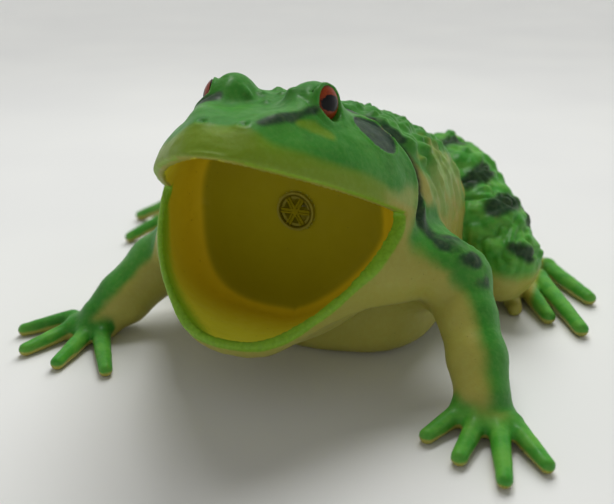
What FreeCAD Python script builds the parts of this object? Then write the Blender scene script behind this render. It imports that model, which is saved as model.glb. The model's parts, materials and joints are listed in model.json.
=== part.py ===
"""Soft vinyl squeeze frog with an open mouth and a reed squeaker, as separate pieces.

Millimetres. +Z is up and the frog faces -Y, so +X is its left side. The origin is on the
ground at the middle of the flat belly patch the frog sits on. Every node is one closed solid.
"""

import FreeCAD, Part
import math
import os

from FreeCAD import Vector as V

os.makedirs("parts", exist_ok=True)

# ---- body -----------------------------------------------------------------------------------
WALL = 2.2                    # moulded vinyl wall
BOND_GAP = 0.05               # gap between pieces that are pressed or bonded together

# cross-sections from snout to rump: (y, half width, top, bottom, roundness of the lower half)
BODY_SECTIONS = [
    (-66.6, 3.6, 65.0, 42.0, 2.4),
    (-64.4, 10.0, 66.4, 24.0, 2.4),
    (-60.0, 16.8, 67.6, 14.2, 2.4),
    (-52.0, 23.8, 68.6, 9.8, 2.4),
    (-42.0, 29.6, 69.0, 7.2, 2.4),
    (-30.0, 34.4, 68.4, 3.6, 3.0),
    (-18.0, 38.6, 67.2, 0.0, 3.8),
    (-4.0, 40.8, 64.6, -0.4, 3.8),
    (12.0, 41.6, 60.4, -0.4, 3.6),
    (28.0, 38.8, 53.6, -0.4, 3.2),
    (42.0, 31.6, 44.6, 0.0, 2.8),
    (54.0, 20.6, 34.0, 3.4, 2.4),
    (62.0, 10.6, 25.6, 8.4, 2.4),
    (65.0, 4.0, 20.6, 12.6, 2.4),
]
SECTION_POWER = 2.4           # superellipse exponent of the upper half of each section
SECTION_POINTS = 20

BROW_CENTRE = (9.6, -33.0, 65.6)
BROW_RADII = (8.0, 10.0, 8.6)
BROW_WALL = 3.0

# ---- mouth ----------------------------------------------------------------------------------
CORNER_Y, CORNER_Z = -30.2, 43.7      # where the two lips meet
UPPER_LIP_Y, UPPER_LIP_Z = -66.4, 63.0
LOWER_LIP_Y, LOWER_LIP_Z = -61.7, 15.6
BACK_WALL_Y = -18.0           # front face of the wall behind the mouth
POCKET_WALL = 1.6
POCKET_SETBACK = 1.2          # the pocket's edge stops this far behind the lips

# inside of the mouth pocket from the lips to its back wall, as for the body
POCKET_SECTIONS = [
    (-72.0, 5.0, 63.6, 30.0, 2.4),
    (-64.0, 9.0, 63.0, 25.0, 2.4),
    (-60.0, 13.6, 62.6, 18.6, 2.4),
    (-52.0, 20.0, 61.8, 14.2, 2.4),
    (-42.0, 25.4, 61.0, 11.4, 2.4),
    (-30.0, 28.8, 60.4, 9.0, 2.4),
    (-18.0, 29.6, 60.0, 7.4, 2.4),
]

# ---- eyes and nostrils ----------------------------------------------------------------------
EYE_TIP = (16.8, -35.6, 69.8)
EYE_LOOK = (0.92, -0.36, 0.12)        # direction the left eye faces
EYE_DOME_RADIUS = 6.0
EYE_RIM_RADIUS = 4.3
NOSTRIL = (5.0, -56.4, 68.4)
NOSTRIL_RADIUS = 0.9

# ---- leg sockets ----------------------------------------------------------------------------
NECK_RADIUS = 5.6
NECK_BORE = 3.6
RUN_GAP = 0.05                # radial clearance of a neck in its socket
FACE_GAP = 0.3                # between the leg and the plane that just touches the body
COLLAR_RADIUS = 7.4           # snap-in collar inside the body
COLLAR_T = 1.6
SHOULDER_COLLAR_DEPTH, HIP_COLLAR_DEPTH = 5.2, 6.2
SOCKET_DEPTH = 8.0            # the socket holes reach this far in, past any wall
SHOULDER_YAW, SHOULDER = -12.0, (39.4, -18.0, 25.5)
HIP_YAW, HIP = 28.8, (34.2, 40.0, 25.0)
LEG_WALL = 1.9

# ---- limbs as chains of tapered round rods, given for the left side: (x, y, z, radius) ------------
ARM_LEFT = [(39.4, -19.0, 27.0, 12.5), (47.0, -22.5, 25.0, 9.4), (53.4, -35.0, 14.5, 6.9), (57.6, -43.0, 6.6, 5.9)]
ARM_RIGHT = [(38.5, -19.0, 23.5, 11.0), (43.0, -26.0, 16.5, 8.0), (49.0, -35.0, 8.5, 7.0), (53.0, -39.5, 5.4, 5.4)]
THIGH = [(33.0, 42.5, 32.5, 15.0), (49.5, 19.5, 17.0, 13.4)]
SHANK = [(49.0, 17.0, 14.2, 8.8), (47.0, 44.0, 9.0, 7.6)]
HOLLOW_JOINTS = 3             # an arm is hollow up to this joint
NESTING = 0.06                # a rod starts this much inside the round end of the one before it
SINK = 0.2                    # digits are set this deep into the ground, then cut flat under

# ---- hands and feet on the ground: (x, y, z, radius) --------------------------------------------
PALM_LEFT, PALM_RIGHT = (58.5, -45.0, 3.0, 3.6), (53.5, -40.5, 3.2, 3.8)
ANKLE_LEFT, ANKLE_RIGHT = (51.0, 44.0, 4.2, 4.6), (55.0, 47.0, 4.2, 4.6)
FINGER_RADIUS, TOE_RADIUS, TIP_RADIUS = 2.2, 2.4, 1.75

# knuckle and tip of each digit, outermost first: (x, y, tip x, tip y)
FINGERS_LEFT = [(65.5, -48.0, 73.1, -57.4), (62.3, -49.5, 66.0, -65.6),
                (57.0, -49.0, 56.2, -61.6), (52.4, -46.0, 48.2, -56.3)]
FINGERS_RIGHT = [(66.0, -37.8, 72.7, -48.3), (58.4, -43.4, 64.0, -57.9),
                 (52.0, -46.8, 51.2, -60.5), (46.5, -46.5, 37.0, -58.9)]
TOES_LEFT = [(62.0, 51.0, 76.2, 33.0), (60.5, 40.0, 75.4, 10.0),
             (58.0, 30.0, 66.0, 15.0), (53.5, 25.0, 56.3, 17.0)]
TOES_RIGHT = [(80.0, 60.0, 104.0, 46.0), (77.0, 48.0, 86.5, 21.5),
              (69.0, 37.0, 72.5, 20.0), (59.0, 29.0, 59.5, 19.5)]

# ---- squeaker, on an axis along Y through the wall behind the mouth ----------------------------
SQUEAKER_X, SQUEAKER_Z = 0.0, 37.0
LIP_RADIUS, LIP_T = 5.4, 1.1
GROOVE_RADIUS = 4.9
REAR_FLANGE_RADIUS, REAR_FLANGE_T = 7.0, 1.2
BARREL_RADIUS, BARREL_LENGTH = 4.9, 11.0
CASE_BORE = 3.6
GRILLE_RADIUS, GRILLE_T = 4.75, 0.7
GRILLE_RIM = 4.35             # inside radius of the grille's ring
GRILLE_SPOKES = 6
SPOKE_WIDTH = 1.3
SPOKE_GROOVE, SPOKE_GROOVE_DEPTH = 0.5, 0.35    # each spoke shows as a pair of thin ribs
HUB_RADIUS = 0.9
TUBE_RADIUS, TUBE_BORE, TUBE_LENGTH = 3.55, 2.7, 9.0
TUBE_START = 3.0              # from the wall's front face to the front of the tube
REED_WIDTH, REED_T, REED_LENGTH = 3.6, 0.2, 7.6
REED_CLAMP = 2.4              # length of reed between the seat and the wedge
REED_GAP = 0.12               # room the reed has to rock between them
SEAT_CHANNEL = 1.6            # width of the air channel under the reed


# ---- helpers --------------------------------------------------------------------------------
def mirrored(point, side):
    """A left-side point moved to the side wanted: side is 1 for left and -1 for right."""
    return V(point[0] * side, point[1], point[2])


def section_wire(y, half_width, top, bottom, lower_power):
    """Closed smooth section in the plane at y, a superellipse with its own power in each half."""
    middle, half_height = (top + bottom) / 2, (top - bottom) / 2
    points = []
    for k in range(SECTION_POINTS):
        angle = 2 * math.pi * k / SECTION_POINTS
        power = SECTION_POWER if math.sin(angle) >= 0 else lower_power
        across = math.copysign(abs(math.cos(angle)) ** (2 / power), math.cos(angle))
        upward = math.copysign(abs(math.sin(angle)) ** (2 / power), math.sin(angle))
        points.append(V(half_width * across, y, middle + half_height * upward))
    curve = Part.BSplineCurve()
    curve.interpolate(Points=points, PeriodicFlag=True)
    return Part.Wire(curve.toShape())


def body_hull(inset):
    """The whole body without its openings as one solid, shrunk by inset on every side."""
    first, last = BODY_SECTIONS[0][0], BODY_SECTIONS[-1][0]
    middle, half_length = (first + last) / 2, (last - first) / 2
    wires = []
    for y, half_width, top, bottom, power in BODY_SECTIONS:
        moved_y = middle + (y - middle) * (half_length - inset) / half_length
        half_width = max(half_width - inset, 1.0)
        wires.append(section_wire(moved_y, half_width, top - inset, bottom + inset, power))
    return Part.makeLoft(wires, True, False)


def pocket_hull(outset):
    """The hollow of the mouth as one solid, grown by outset on every side but the front."""
    wires = []
    for y, half_width, top, bottom, power in POCKET_SECTIONS:
        moved_y = y + outset if y == BACK_WALL_Y else y
        wires.append(section_wire(moved_y, half_width + outset, top + outset, bottom - outset, power))
    return Part.makeLoft(wires, True, False)


def ellipsoid(centre, radii):
    matrix = FreeCAD.Matrix()
    matrix.scale(*radii)
    matrix.move(V(*centre))
    return Part.makeSphere(1.0).transformGeometry(matrix)


def cylinder(centre, axis, radius, start, end):
    """Cylinder about axis through centre, from start to end along it."""
    axis = V(*axis).normalize()
    return Part.makeCylinder(radius, end - start, V(*centre) + axis * start, axis)


def half_space(centre, axis):
    """A block large enough to hold everything beyond centre in the direction of axis."""
    size = 400.0
    block = Part.makeBox(size, size, size, V(-size / 2, -size / 2, 0))
    block.Placement = FreeCAD.Placement(V(*centre), FreeCAD.Rotation(V(0, 0, 1), V(*axis)))
    return block


def rod(start, end, start_radius, end_radius):
    """Tapered rod with round ends, turned in one piece."""
    start, end = V(*start), V(*end)
    length = (end - start).Length
    lean = math.asin((start_radius - end_radius) / length)
    low_middle, high_middle = (lean - math.pi / 2) / 2, (lean + math.pi / 2) / 2

    def on_start(angle):
        return V(start_radius * math.cos(angle), 0, start_radius * math.sin(angle))

    def on_end(angle):
        return V(end_radius * math.cos(angle), 0, length + end_radius * math.sin(angle))

    foot, head = V(0, 0, -start_radius), V(0, 0, length + end_radius)
    profile = Part.Wire([
        Part.Arc(foot, on_start(low_middle), on_start(lean)).toShape(),
        Part.makeLine(on_start(lean), on_end(lean)),
        Part.Arc(on_end(lean), on_end(high_middle), head).toShape(),
        Part.makeLine(head, foot),
    ])
    solid = Part.Face(profile).revolve(V(0, 0, 0), V(0, 0, 1), 360)
    solid.Placement = FreeCAD.Placement(start, FreeCAD.Rotation(V(0, 0, 1), end - start))
    return solid


def rod_chain(joints, side, thinner=0.0):
    """Rods between neighbouring joints of a limb, each radius made smaller by thinner."""
    rods = []
    for (x0, y0, z0, r0), (x1, y1, z1, r1) in zip(joints, joints[1:]):
        start, end = mirrored((x0, y0, z0), side), mirrored((x1, y1, z1), side)
        rods.append(rod(start, end, r0 - thinner - NESTING, r1 - thinner))
    return rods


def fuse(solids):
    joined = solids[0]
    for solid in solids[1:]:
        joined = joined.fuse(solid)
    return joined.removeSplitter()


def save(name, shape):
    """Write one node, which has to be a single closed solid."""
    solids = shape.Solids
    if len(solids) != 1 or not solids[0].isValid():
        raise ValueError(f"{name} has {len(solids)} solids")
    solids[0].exportStep(f"parts/{name}.step")


# ---- body and mouth ---------------------------------------------------------------------------
def mouth_wedge(setback=0.0):
    """The gape: everything in front of the two planes the lips lie in, moved back by setback."""
    reach = 2.0
    upper = V(0, UPPER_LIP_Y - CORNER_Y, UPPER_LIP_Z - CORNER_Z) * reach
    lower = V(0, LOWER_LIP_Y - CORNER_Y, LOWER_LIP_Z - CORNER_Z) * reach
    corner = V(-60, CORNER_Y + setback, CORNER_Z)
    outline = Part.makePolygon([corner, corner + upper, corner + lower, corner])
    return Part.Face(outline).extrude(V(120, 0, 0))


def brow(side, thinner=0.0):
    return ellipsoid(mirrored(BROW_CENTRE, side), [radius - thinner for radius in BROW_RADII])


def eye(side, gap=0.0):
    """Domed cap with a flat back, or the pocket it sits in when gap is given."""
    look = mirrored(EYE_LOOK, side).normalize()
    centre = mirrored(EYE_TIP, side) - look * EYE_DOME_RADIUS
    back = math.sqrt(EYE_DOME_RADIUS ** 2 - EYE_RIM_RADIUS ** 2)
    dome = Part.makeSphere(EYE_DOME_RADIUS + gap, centre)
    return dome.common(half_space(centre + look * (back - gap), look))


def socket_axis(yaw, side):
    return V(math.cos(math.radians(yaw)) * side, math.sin(math.radians(yaw)), 0)


def socket_hole(centre, yaw, side):
    centre = mirrored(centre, side)
    return cylinder(centre, socket_axis(yaw, side), NECK_RADIUS + RUN_GAP, -SOCKET_DEPTH, 4)


def body_skin():
    outside = fuse([body_hull(0.0), brow(1), brow(-1)])
    inside = fuse([body_hull(WALL), brow(1, BROW_WALL), brow(-1, BROW_WALL)])
    shell = outside.cut(half_space((0, 0, 0), (0, 0, -1))).cut(inside)
    openings = [mouth_wedge()]
    for side in (1, -1):
        openings.append(socket_hole(SHOULDER, SHOULDER_YAW, side))
        openings.append(socket_hole(HIP, HIP_YAW, side))
        openings.append(eye(side, BOND_GAP))
        openings.append(Part.makeSphere(NOSTRIL_RADIUS, mirrored(NOSTRIL, side)))
    return shell.cut(openings)


def squeaker_axis_point(depth):
    """Point on the squeaker's axis, depth behind the front face of the wall."""
    return V(SQUEAKER_X, BACK_WALL_Y + depth, SQUEAKER_Z)


def squeaker_ring(radius, start, end):
    return Part.makeCylinder(radius, end - start, squeaker_axis_point(start), V(0, 1, 0))


def mouth_pocket():
    """Palate, floor and back wall in one cup that closes the air space off from the mouth."""
    cup = pocket_hull(POCKET_WALL).common(body_hull(WALL + BOND_GAP))
    hole = squeaker_ring(GROOVE_RADIUS + BOND_GAP, -1, POCKET_WALL + 1)
    return cup.cut(pocket_hull(0.0)).cut(mouth_wedge(POCKET_SETBACK)).cut(hole)


# ---- legs -------------------------------------------------------------------------------------
def digits(roots, palm, side, radius):
    """A round palm with rods to each knuckle and on to each tip, lying on the ground."""
    *centre, palm_radius = palm
    centre = mirrored(centre, side)
    solids = [Part.makeSphere(palm_radius, centre)]
    for k, (x, y, tip_x, tip_y) in enumerate(roots, 1):
        knuckle = mirrored((x, y, radius - SINK), side)
        tip = mirrored((tip_x, tip_y, TIP_RADIUS - SINK), side)
        solids.append(rod(centre, knuckle, palm_radius - k * NESTING, radius))
        solids.append(rod(knuckle, tip, radius - NESTING, TIP_RADIUS))
    return solids


def finish_leg(solids, hollows, centre, yaw, collar_depth, side):
    """Flatten the sole and the socket face, hollow the limb and add its snap-in neck."""
    axis, centre = socket_axis(yaw, side), mirrored(centre, side)
    flesh = fuse(solids)
    flesh = flesh.cut([half_space((0, 0, 0), (0, 0, -1)), half_space(centre + axis * FACE_GAP, axis * -1)])
    neck_end = -collar_depth - COLLAR_T
    neck = cylinder(centre, axis, NECK_RADIUS, neck_end, FACE_GAP + LEG_WALL)
    collar = cylinder(centre, axis, COLLAR_RADIUS, neck_end, -collar_depth)
    bore = cylinder(centre, axis, NECK_BORE, neck_end - 1, FACE_GAP + LEG_WALL + 2)
    hollow = fuse(hollows).cut(half_space(centre + axis * (FACE_GAP + LEG_WALL), axis * -1))
    hollow = hollow.cut(half_space((0, 0, LEG_WALL), (0, 0, -1)))
    return fuse([flesh, neck, collar]).cut([hollow, bore])


def front_leg(side):
    arm, palm, fingers = ARM_LEFT, PALM_LEFT, FINGERS_LEFT
    if side < 0:
        arm, palm, fingers = ARM_RIGHT, PALM_RIGHT, FINGERS_RIGHT
    solids = rod_chain(arm, side) + digits(fingers, palm, side, FINGER_RADIUS)
    hollows = rod_chain(arm[:HOLLOW_JOINTS], side, LEG_WALL)
    return finish_leg(solids, hollows, SHOULDER, SHOULDER_YAW, SHOULDER_COLLAR_DEPTH, side)


def hind_leg(side):
    ankle, toes = ANKLE_LEFT, TOES_LEFT
    if side < 0:
        ankle, toes = ANKLE_RIGHT, TOES_RIGHT
    solids = rod_chain(THIGH, side) + rod_chain(SHANK, side) + digits(toes, ankle, side, TOE_RADIUS)
    hollows = rod_chain(THIGH, side, LEG_WALL) + rod_chain(SHANK, side, LEG_WALL)
    return finish_leg(solids, hollows, HIP, HIP_YAW, HIP_COLLAR_DEPTH, side)


# ---- squeaker ---------------------------------------------------------------------------------
def squeaker_case():
    """Snap-in cup: lip in front of the wall, groove through it, flange and barrel behind."""
    back = POCKET_WALL + BOND_GAP
    solids = [
        squeaker_ring(LIP_RADIUS, -BOND_GAP - LIP_T, -BOND_GAP),
        squeaker_ring(GROOVE_RADIUS, -BOND_GAP - LIP_T, back + REAR_FLANGE_T),
        squeaker_ring(REAR_FLANGE_RADIUS, back, back + REAR_FLANGE_T),
        squeaker_ring(BARREL_RADIUS, back, back + BARREL_LENGTH),
    ]
    grille_seat = squeaker_ring(GRILLE_RADIUS + BOND_GAP, -2, GRILLE_T - LIP_T)
    return fuse(solids).cut([grille_seat, squeaker_ring(CASE_BORE, -2, back + BARREL_LENGTH + 1)])


def spoke_bar(turn, first_radius, last_radius, width, start, end):
    """Straight bar from the hub outwards, turned about the squeaker's axis."""
    bar = Part.makeBox(last_radius - first_radius, end - start, width, V(first_radius, 0, -width / 2))
    bar.Placement = FreeCAD.Placement(squeaker_axis_point(start), FreeCAD.Rotation(V(0, 1, 0), turn))
    return bar


def squeaker_grille():
    """Ring, hub and six grooved spokes that keep fingers off the reed."""
    start, end = -LIP_T, GRILLE_T - LIP_T - BOND_GAP
    ring = squeaker_ring(GRILLE_RADIUS, start, end).cut(squeaker_ring(GRILLE_RIM, start - 1, end + 1))
    turns = [360 / GRILLE_SPOKES * k for k in range(GRILLE_SPOKES)]
    spokes = [spoke_bar(turn, 0, GRILLE_RIM + 0.3, SPOKE_WIDTH, start, end) for turn in turns]
    grille = fuse([ring, squeaker_ring(HUB_RADIUS, start, end)] + spokes)
    for turn in turns:
        groove_end = start + SPOKE_GROOVE_DEPTH
        grille = grille.cut(spoke_bar(turn, HUB_RADIUS, GRILLE_RIM, SPOKE_GROOVE, start - 1, groove_end))
    return grille


def reed_tube():
    end = TUBE_START + TUBE_LENGTH
    return squeaker_ring(TUBE_RADIUS, TUBE_START, end).cut(squeaker_ring(TUBE_BORE, TUBE_START - 1, end + 1))


def level_slab(low, high, start, end):
    """Box across the tube between two heights above its axis and two depths along it."""
    corner = squeaker_axis_point(start) + V(-TUBE_RADIUS - 1, 0, low)
    return Part.makeBox(2 * TUBE_RADIUS + 2, end - start, high - low, corner)


def reed_seat():
    """Half-round trough: air reaches the reed through its channel."""
    start, end = TUBE_START, TUBE_START + TUBE_LENGTH
    half_round = squeaker_ring(TUBE_BORE - BOND_GAP, start, end)
    half_round = half_round.cut(level_slab(-REED_T / 2 - REED_GAP, TUBE_RADIUS, start - 1, end + 1))
    channel_end = end - REED_CLAMP - 0.6
    corner = squeaker_axis_point(start - 1) + V(-SEAT_CHANNEL / 2, 0, -TUBE_BORE * 0.6)
    return half_round.cut(Part.makeBox(SEAT_CHANNEL, channel_end - start + 1, TUBE_BORE, corner))


def reed_wedge():
    """Half-round piece that holds the tail of the reed against the seat."""
    end = TUBE_START + TUBE_LENGTH
    start = end - REED_CLAMP
    half_round = squeaker_ring(TUBE_BORE - BOND_GAP, start, end)
    return half_round.cut(level_slab(-TUBE_RADIUS, REED_T / 2 + REED_GAP, start - 1, end + 1))


def reed():
    end = TUBE_START + TUBE_LENGTH
    corner = squeaker_axis_point(end - REED_LENGTH) + V(-REED_WIDTH / 2, 0, -REED_T / 2)
    return Part.makeBox(REED_WIDTH, REED_LENGTH, REED_T, corner)


NODES = {
    "body_skin": body_skin,
    "mouth_pocket": mouth_pocket,
    "eye_left": lambda: eye(1),
    "eye_right": lambda: eye(-1),
    "front_leg_left": lambda: front_leg(1),
    "front_leg_right": lambda: front_leg(-1),
    "hind_leg_left": lambda: hind_leg(1),
    "hind_leg_right": lambda: hind_leg(-1),
    "squeaker_case": squeaker_case,
    "squeaker_grille": squeaker_grille,
    "reed_tube": reed_tube,
    "reed_seat": reed_seat,
    "reed_wedge": reed_wedge,
    "reed": reed,
}

for node, build in NODES.items():
    save(node, build())
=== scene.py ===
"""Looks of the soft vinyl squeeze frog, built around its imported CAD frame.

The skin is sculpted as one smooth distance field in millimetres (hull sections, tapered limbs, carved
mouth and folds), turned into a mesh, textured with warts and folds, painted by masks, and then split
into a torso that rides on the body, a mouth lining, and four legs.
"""

import json
import math
from itertools import combinations, product
from types import SimpleNamespace

import bpy
import numpy as np
from mathutils import Matrix, Vector
from mathutils.kdtree import KDTree

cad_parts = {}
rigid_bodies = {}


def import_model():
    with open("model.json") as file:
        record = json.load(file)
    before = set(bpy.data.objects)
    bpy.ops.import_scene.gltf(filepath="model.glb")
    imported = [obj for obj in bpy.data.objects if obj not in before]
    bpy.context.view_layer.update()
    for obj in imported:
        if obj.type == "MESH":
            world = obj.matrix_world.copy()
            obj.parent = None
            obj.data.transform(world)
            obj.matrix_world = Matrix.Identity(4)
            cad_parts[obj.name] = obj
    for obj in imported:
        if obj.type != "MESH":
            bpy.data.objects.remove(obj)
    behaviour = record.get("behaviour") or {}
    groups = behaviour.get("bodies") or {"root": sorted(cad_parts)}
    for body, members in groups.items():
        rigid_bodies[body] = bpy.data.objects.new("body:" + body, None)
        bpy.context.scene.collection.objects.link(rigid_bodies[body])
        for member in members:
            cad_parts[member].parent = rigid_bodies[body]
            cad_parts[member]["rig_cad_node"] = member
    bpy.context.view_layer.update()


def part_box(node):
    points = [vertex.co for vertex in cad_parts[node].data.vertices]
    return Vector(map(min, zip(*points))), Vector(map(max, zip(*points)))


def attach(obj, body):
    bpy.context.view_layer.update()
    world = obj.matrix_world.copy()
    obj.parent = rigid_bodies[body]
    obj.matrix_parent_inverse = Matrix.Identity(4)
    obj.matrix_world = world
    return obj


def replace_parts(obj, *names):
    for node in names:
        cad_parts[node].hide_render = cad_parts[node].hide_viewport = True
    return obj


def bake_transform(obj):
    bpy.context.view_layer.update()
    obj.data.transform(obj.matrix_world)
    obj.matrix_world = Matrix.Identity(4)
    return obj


MM = 0.001
SEED = 20

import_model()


def box_mm(node):
    """Lowest and highest corner of a CAD node in millimetres."""
    low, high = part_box(node)
    return np.array(low) / MM, np.array(high) / MM


# ---- sculpt: dimensions ------------------------------------------
CELL = 0.65          # spacing of the sculpting grid
BLOCK = 8                              # cells along one side of a block of the grid
BLOCKS_AT_ONCE = 400
NEAR_SPANS, NEAR_MARGIN = 1.653, 2.0   # a block whose middle is further off is all on one side
CORNERS = np.array(list(product((0, 1), repeat=3)))
GRID_LOW = np.array([-112, -72, -2])
GRID_HIGH = np.array([84, 70, 80])

# hull sections: y, half width, middle height, half height, roundness of the lower half
HULL = np.array([
    (-67, 0, 53.5, 0, 2.4),
    (-66.2, 5.6, 53.4, 12.4, 2.4),
    (-64, 11, 46, 20.6, 2.4),
    (-60, 16.9, 41.4, 26.3, 2.4),
    (-52, 24, 40.1, 28.5, 2.4),
    (-42, 29.8, 39, 30, 2.4),
    (-30, 34.6, 36.8, 31.8, 2.6),
    (-18, 37.4, 33.6, 33.8, 3.2),
    (-4, 39, 32.1, 32.5, 3.6),
    (12, 39.4, 30, 30.4, 3.6),
    (28, 36.4, 26.6, 27, 3.2),
    (42, 29.6, 22.3, 22.3, 2.8),
    (54, 19.6, 18.7, 15.6, 2.4),
    (62, 10.4, 17, 8.6, 2.4),
    (65.6, 0, 16.6, 0, 2.4),
])
UPPER_ROUNDNESS = 2.4

# mouth pocket: y, half width, middle height, half height
POCKET = np.array([
    (-65.4, 0, 52, 0),
    (-64, 7.6, 45, 17),
    (-60, 13.9, 40.8, 22.2),
    (-52, 21.5, 38.9, 24.9),
    (-42, 27.7, 37.3, 25.9),
    (-30, 31.8, 35.2, 26.4),
    (-18, 28.4, 33.8, 28),
    (-10, 28.4, 33.8, 28),
])
POCKET_BACK_FILLET = 5.0
POCKET_SHIFT = 2.0                     # the pocket's back sits this far to the right
POCKET_SHIFT_FROM = (-34, -18)         # the shift grows between these two depths
POCKET_SQUARES = (-52, -20)            # its lower right grows squarer between these, its left sharper
POCKET_WALL = 1.6
CORNER = np.array([0, -30.2, 43.7])    # where the lips meet, seen from the side
UPPER_LIP = np.array([0, -66.4, 63])
LOWER_LIP = np.array([0, -61.7, 15.6])
LIP_ROUND = 1.1
MAX_SLOPE = 60.0                       # steepest taper that distances are corrected for


# ---- sculpt: distance fields -------------------------------------
def ramp(x, low, high):
    """0 below low, 1 above high, smooth between."""
    t = np.clip((x - low) / (high - low), 0, 1)
    return t * t * (3 - 2 * t)


def fade(x, low, high):
    """1 below low, 0 above high, smooth between."""
    return 1 - ramp(x, low, high)


def smooth_union(a, b, k):
    """The two shapes joined by a fillet of about k."""
    h = np.clip(0.5 + 0.5 * (b - a) / k, 0, 1)
    return b * (1 - h) + a * h - k * h * (1 - h)


def smooth_cut(a, b, k):
    """The shape a with the shape b taken out of it."""
    return -smooth_union(-a, b, k)


def ellipsoid(p, centre, radii):
    """Approximate distance to an ellipsoid."""
    q = (p - np.array(centre)) / np.array(radii)
    k0 = np.sqrt((q * q).sum(1)) + 1e-6
    k1 = np.sqrt(((q / np.array(radii)) ** 2).sum(1)) + 1e-6
    return k0 * (k0 - 1) / k1


def along_segment(p, a, b):
    """Share of the way from a to b, and distance from the segment, of each point."""
    a, b = np.array(a, float), np.array(b, float)
    ab = b - a
    t = np.clip(((p - a) @ ab) / (ab @ ab), 0, 1)
    return t, np.linalg.norm(p - a - t[:, None] * ab, axis=1)


def limb(p, chain, k=2):
    """Tapered rods through a chain of (x, y, z, radius)."""
    d = None
    for (*a, ra), (*b, rb) in zip(chain, chain[1:]):
        t, gap = along_segment(p, a, b)
        rod = gap - (ra + (rb - ra) * t)
        d = rod if d is None else smooth_union(d, rod, k)
    return d


def curve_table(sections, columns):
    """Smoothly interpolated section values at every half millimetre of y."""
    y = np.arange(sections[0, 0], sections[-1, 0] + 0.25, 0.5)
    out = []
    for c in columns:
        knots = sections[:, c] ** 2 if c in (1, 3) else sections[:, c]
        slopes = np.gradient(knots, sections[:, 0])
        i = np.clip(np.searchsorted(sections[:, 0], y) - 1, 0, len(sections) - 2)
        step = sections[i + 1, 0] - sections[i, 0]
        t = (y - sections[i, 0]) / step
        value = ((1 + 2 * t) * (1 - t) ** 2 * knots[i] + t * (1 - t) ** 2 * step * slopes[i]
                 + t * t * (3 - 2 * t) * knots[i + 1] + t * t * (t - 1) * step * slopes[i + 1])
        out.append(np.sqrt(np.clip(value, 1e-4, None)) if c in (1, 3) else value)
    return y, out


def sectioned(p, table, lower=None):
    """Distance to a body given by superelliptic sections across y."""
    y, (half_width, middle, half_height, *rest) = table
    w = np.interp(p[:, 1], y, half_width)
    m = np.interp(p[:, 1], y, middle)
    h = np.interp(p[:, 1], y, half_height)
    if lower is None:
        lower = np.interp(p[:, 1], y, rest[0])
    x, z = np.abs(p[:, 0]), p[:, 2] - m
    n = np.where(z >= 0, UPPER_ROUNDNESS, lower)
    ratio = ((x / w) ** n + (np.abs(z) / h) ** n + 1e-9) ** (1 / n)
    radius = np.sqrt(x * x + z * z) + 1e-3
    edge = radius / np.maximum(ratio, 1e-3)
    grow_w = np.interp(p[:, 1], y, np.gradient(half_width, y))
    grow_h = np.interp(p[:, 1], y, np.gradient(half_height, y))
    slope = (x * x * grow_w * grow_w + z * z * grow_h * grow_h) / (radius * radius)
    d = (radius - edge) / np.sqrt(1 + np.minimum(slope, MAX_SLOPE))
    beyond = np.maximum(y[0] - p[:, 1], p[:, 1] - y[-1])
    return np.where(beyond > 0, np.maximum(d, 0) + beyond, d)


def super_ball(p, centre, radii, powers):
    """Rounded box-like ball: each axis has its own power."""
    q = p - np.array(centre)
    f = sum((np.abs(q[:, i]) / radii[i]) ** powers[i] for i in range(3)) ** 0.25 + 1e-6
    return np.linalg.norm(q, axis=1) * (1 - 1 / f)


HULL_TABLE = curve_table(HULL, (1, 2, 3, 4))
POCKET_TABLE = curve_table(POCKET, (1, 2, 3))

# features given for the left side and mirrored: (x, y, z) and radii
BROWS = {
    "left": ((10.6, -32.6, 65.1), (7.4, 9.6, 9)),
    "right": ((10.2, -32.2, 66), (6.2, 9.2, 9.2)),
}
CROWN = ((0, -26, 60), (10, 13, 10.2))
NOSE_BEVEL = np.array([0, -63.5, 66.7]), np.array([0, -0.64, 0.77])
SNOUT_RIDGE = [(13, -39, 66.4, 3.4), (8.6, -49, 66.4, 2.6), (5.6, -56, 65.6, 2)]
CHEST = {
    "left": [(14, -36, 24, 9), (30, -30, 28.5, 9), (40, -24.5, 28.5, 8.4)],
    "right": [(14, -36, 24, 9), (28, -28, 26, 8.5), (34, -22, 24, 8.5)],
}
# lower edge of the chest: distance from the middle, height. Below it the belly stands further back
SHELF = np.array([
    (0, 9), (8, 11), (14, 15), (20, 19),
    (28, 21.6), (36, 22.4), (46, 22.8), (60, 23),
])
SHELF_BACK = -25.0
LEAST_WALL = max(1.7, 2.2 * CELL)      # thinner than about two cells would tear
BELLY = ((0, 3, 17), (39.5, 35, 19.5), (3, 4, 4))
NOSTRIL_AT = np.array([5, -56.6, 68.6])
NOSTRIL_RADIUS = 0.85

# limbs are chains of (x, y, z, radius); digits are paths on the floor plan: x, y, x, y...
ARMS = {
    "left": [(35, -18, 26.6, 11), (44.8, -22, 25, 9), (50, -29, 18.6, 7),
             (54.2, -36.5, 12, 6.8), (57, -42.6, 6.2, 6.4)],
    "right": [(33, -17, 23, 10), (42, -24, 17.4, 8.8), (48.8, -33.5, 9.2, 7.6),
              (52.6, -39.6, 5.4, 5.8)],
}
PALMS = {"left": ((58.8, -45.8, 2.6), (7.6, 6, 3.6)), "right": ((55, -41.2, 2.8), (8, 6.6, 3.8))}
FINGERS = {
    "left": [(65, -47.5, 73.4, -57.8), (62, -49, 66, -66),
             (57.2, -49, 56, -62), (53, -46, 47.8, -56.8)],
    "right": [(63.5, -39, 73, -48.8), (58.8, -43, 64.2, -58.2),
              (53, -45.8, 51, -61), (48.5, -45.5, 36.8, -59.2)],
}
THIGH = [(25.6, 46, 35.2, 12.4), (32.6, 38, 31.2, 13.2),
         (43.4, 25.5, 22, 12.8), (50.6, 18.5, 16.2, 11.6)]
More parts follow.
